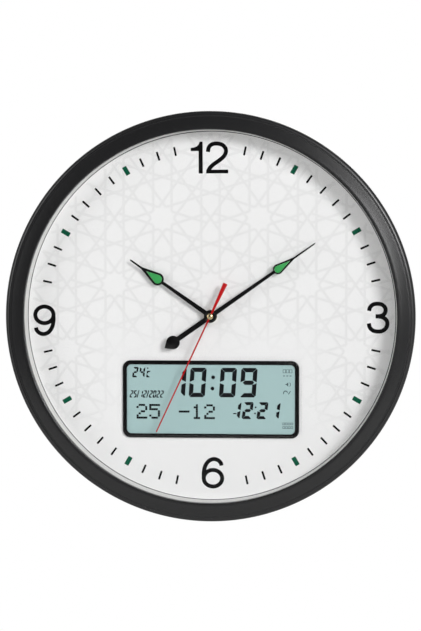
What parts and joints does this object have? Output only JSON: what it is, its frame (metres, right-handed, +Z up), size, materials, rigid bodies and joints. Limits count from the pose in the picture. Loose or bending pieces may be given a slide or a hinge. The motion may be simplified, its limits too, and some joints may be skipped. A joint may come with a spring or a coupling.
{
  "type": "azan wall clock",
  "caption": "Round wall clock with a geared quartz movement, hands and a prayer-time display module in a moulded rim.",
  "frame": {"origin": "on the hand axis, in the plane of the wall that the clock hangs on", "axes": "+Z up, +X to the right seen from the front, +Y into the wall, so the dial faces -Y"},
  "size_m": [0.33, 0.046, 0.33],
  "materials": {
    "rim": "satin moulded plastic",
    "lens": "clear",
    "dial_white": "printed matt",
    "cover": "fine moulded grain",
    "screw_steel": "zinc plated",
    "gloss_black": "polished",
    "lcd_glass": "satin polariser",
    "rubber": "matt",
    "board": "solder mask",
    "knob_white": "moulded",
    "cell": "sleeved steel can",
    "paper": "pressed paper",
    "lead_red": "insulated lead",
    "movement_black": "moulded",
    "brass": "turned",
    "copper": "enamelled wire",
    "acetal": "moulded",
    "hand_black": "painted",
    "inlay_green": "luminous paint",
    "hand_red": "painted"
  },
  "bodies": {
    "case": {"rim": "rim", "lens": "lens", "inner_ring": "dial_white", "dial": "dial_white", "back_cover": "cover", "case_screw_1": "screw_steel", "case_screw_2": "screw_steel", "case_screw_3": "screw_steel", "case_screw_4": "screw_steel", "lcd_frame": "gloss_black", "lcd_panel": "lcd_glass", "lcd_backing": "dial_white", "zebra_strip_upper": "rubber", "zebra_strip_lower": "rubber", "circuit_board": "board", "board_screw_1": "screw_steel", "board_screw_2": "screw_steel", "battery_1": "cell", "battery_2": "cell", "bridge_contact": "screw_steel", "plus_contact": "screw_steel", "minus_contact": "screw_steel", "speaker_basket": "screw_steel", "speaker_cone": "paper", "speaker_magnet": "cell", "speaker_lead": "lead_red", "battery_lead": "rubber", "movement_base": "movement_black", "movement_cover": "movement_black", "rubber_gasket": "rubber", "mounting_washer": "brass", "mounting_nut": "brass", "stator": "screw_steel", "coil": "copper", "movement_board": "board", "movement_cell": "cell", "cell_contact_plus": "screw_steel", "cell_contact_minus": "screw_steel"},
    "second_shaft": {"second_wheel": "acetal", "second_hand": "hand_red", "second_cap": "brass"},
    "intermediate_shaft": {"intermediate_wheel": "acetal"},
    "rotor_shaft": {"rotor": "cell"},
    "third_shaft": {"third_wheel": "acetal"},
    "centre_gear": {"centre_wheel": "acetal"},
    "minute_shaft": {"minute_arbor": "brass", "minute_hand": "hand_black", "minute_inlay": "inlay_green"},
    "motion_shaft": {"motion_wheel": "acetal"},
    "hour_shaft": {"hour_wheel": "acetal", "hour_hand": "hand_black", "hour_inlay": "inlay_green"},
    "knob_shaft": {"setting_knob": "knob_white"},
    "set_button": {"key_set": "rubber"},
    "up_button": {"key_up": "rubber"},
    "down_button": {"key_down": "rubber"},
    "mode_button": {"key_mode": "rubber"},
    "azan_button": {"key_azan": "rubber"},
    "sound_slider": {"sound_switch": "knob_white"},
    "door": {"battery_door": "cover"}
  },
  "joints": [
    {"name": "second_turn", "type": "hinge", "parent": "case", "child": "second_shaft", "pos_m": [0, -0.015, 0], "axis": [0, 1, 0], "continuous": true},
    {"name": "intermediate_turn", "type": "hinge", "parent": "case", "child": "intermediate_shaft", "pos_m": [0.00846, -0.012, 0.00308], "axis": [0, 1, 0], "continuous": true},
    {"name": "rotor_turn", "type": "hinge", "parent": "case", "child": "rotor_shaft", "pos_m": [0.00992, -0.015, 0.01135], "axis": [0, 1, 0], "continuous": true},
    {"name": "third_turn", "type": "hinge", "parent": "case", "child": "third_shaft", "pos_m": [-0.00431, -0.015, 0.00924], "axis": [0, 1, 0], "continuous": true},
    {"name": "centre_turn", "type": "hinge", "parent": "case", "child": "centre_gear", "pos_m": [0, -0.0167, 0], "axis": [0, 1, 0], "continuous": true},
    {"name": "minute_turn", "type": "hinge", "parent": "case", "child": "minute_shaft", "pos_m": [0, -0.022, 0], "axis": [0, 1, 0], "continuous": true},
    {"name": "motion_turn", "type": "hinge", "parent": "case", "child": "motion_shaft", "pos_m": [-0.011, -0.018, 0], "axis": [0, 1, 0], "continuous": true},
    {"name": "hour_turn", "type": "hinge", "parent": "case", "child": "hour_shaft", "pos_m": [0, -0.022, 0], "axis": [0, 1, 0], "continuous": true},
    {"name": "knob_turn", "type": "hinge", "parent": "case", "child": "knob_shaft", "pos_m": [-0.021, -0.012, -0.00577], "axis": [0, 1, 0], "continuous": true},
    {"name": "set_press", "type": "slide", "parent": "case", "child": "set_button", "axis": [0, -1, 0], "range_m": [0, 0.001], "stiffness_N_per_m": 300, "springref_m": -0.001},
    {"name": "up_press", "type": "slide", "parent": "case", "child": "up_button", "axis": [0, -1, 0], "range_m": [0, 0.001], "stiffness_N_per_m": 300, "springref_m": -0.001},
    {"name": "down_press", "type": "slide", "parent": "case", "child": "down_button", "axis": [0, -1, 0], "range_m": [0, 0.001], "stiffness_N_per_m": 300, "springref_m": -0.001},
    {"name": "mode_press", "type": "slide", "parent": "case", "child": "mode_button", "axis": [0, -1, 0], "range_m": [0, 0.001], "stiffness_N_per_m": 300, "springref_m": -0.001},
    {"name": "azan_press", "type": "slide", "parent": "case", "child": "azan_button", "axis": [0, -1, 0], "range_m": [0, 0.001], "stiffness_N_per_m": 300, "springref_m": -0.001},
    {"name": "sound_slide", "type": "slide", "parent": "case", "child": "sound_slider", "axis": [1, 0, 0], "range_m": [-0.003, 0.003]},
    {"name": "door_slide", "type": "slide", "parent": "case", "child": "door", "axis": [0, 0, -1], "range_m": [0, 0.012]}
  ],
  "couplings": [
    {"joint": "intermediate_turn", "follows": "second_turn", "ratio": -5},
    {"joint": "rotor_turn", "follows": "second_turn", "ratio": 30},
    {"joint": "third_turn", "follows": "second_turn", "ratio": -0.13333},
    {"joint": "centre_turn", "follows": "second_turn", "ratio": 0.016667},
    {"joint": "motion_turn", "follows": "minute_turn", "ratio": -0.25},
    {"joint": "hour_turn", "follows": "minute_turn", "ratio": 0.083333},
    {"joint": "knob_turn", "follows": "minute_turn", "ratio": 0.8}
  ]
}
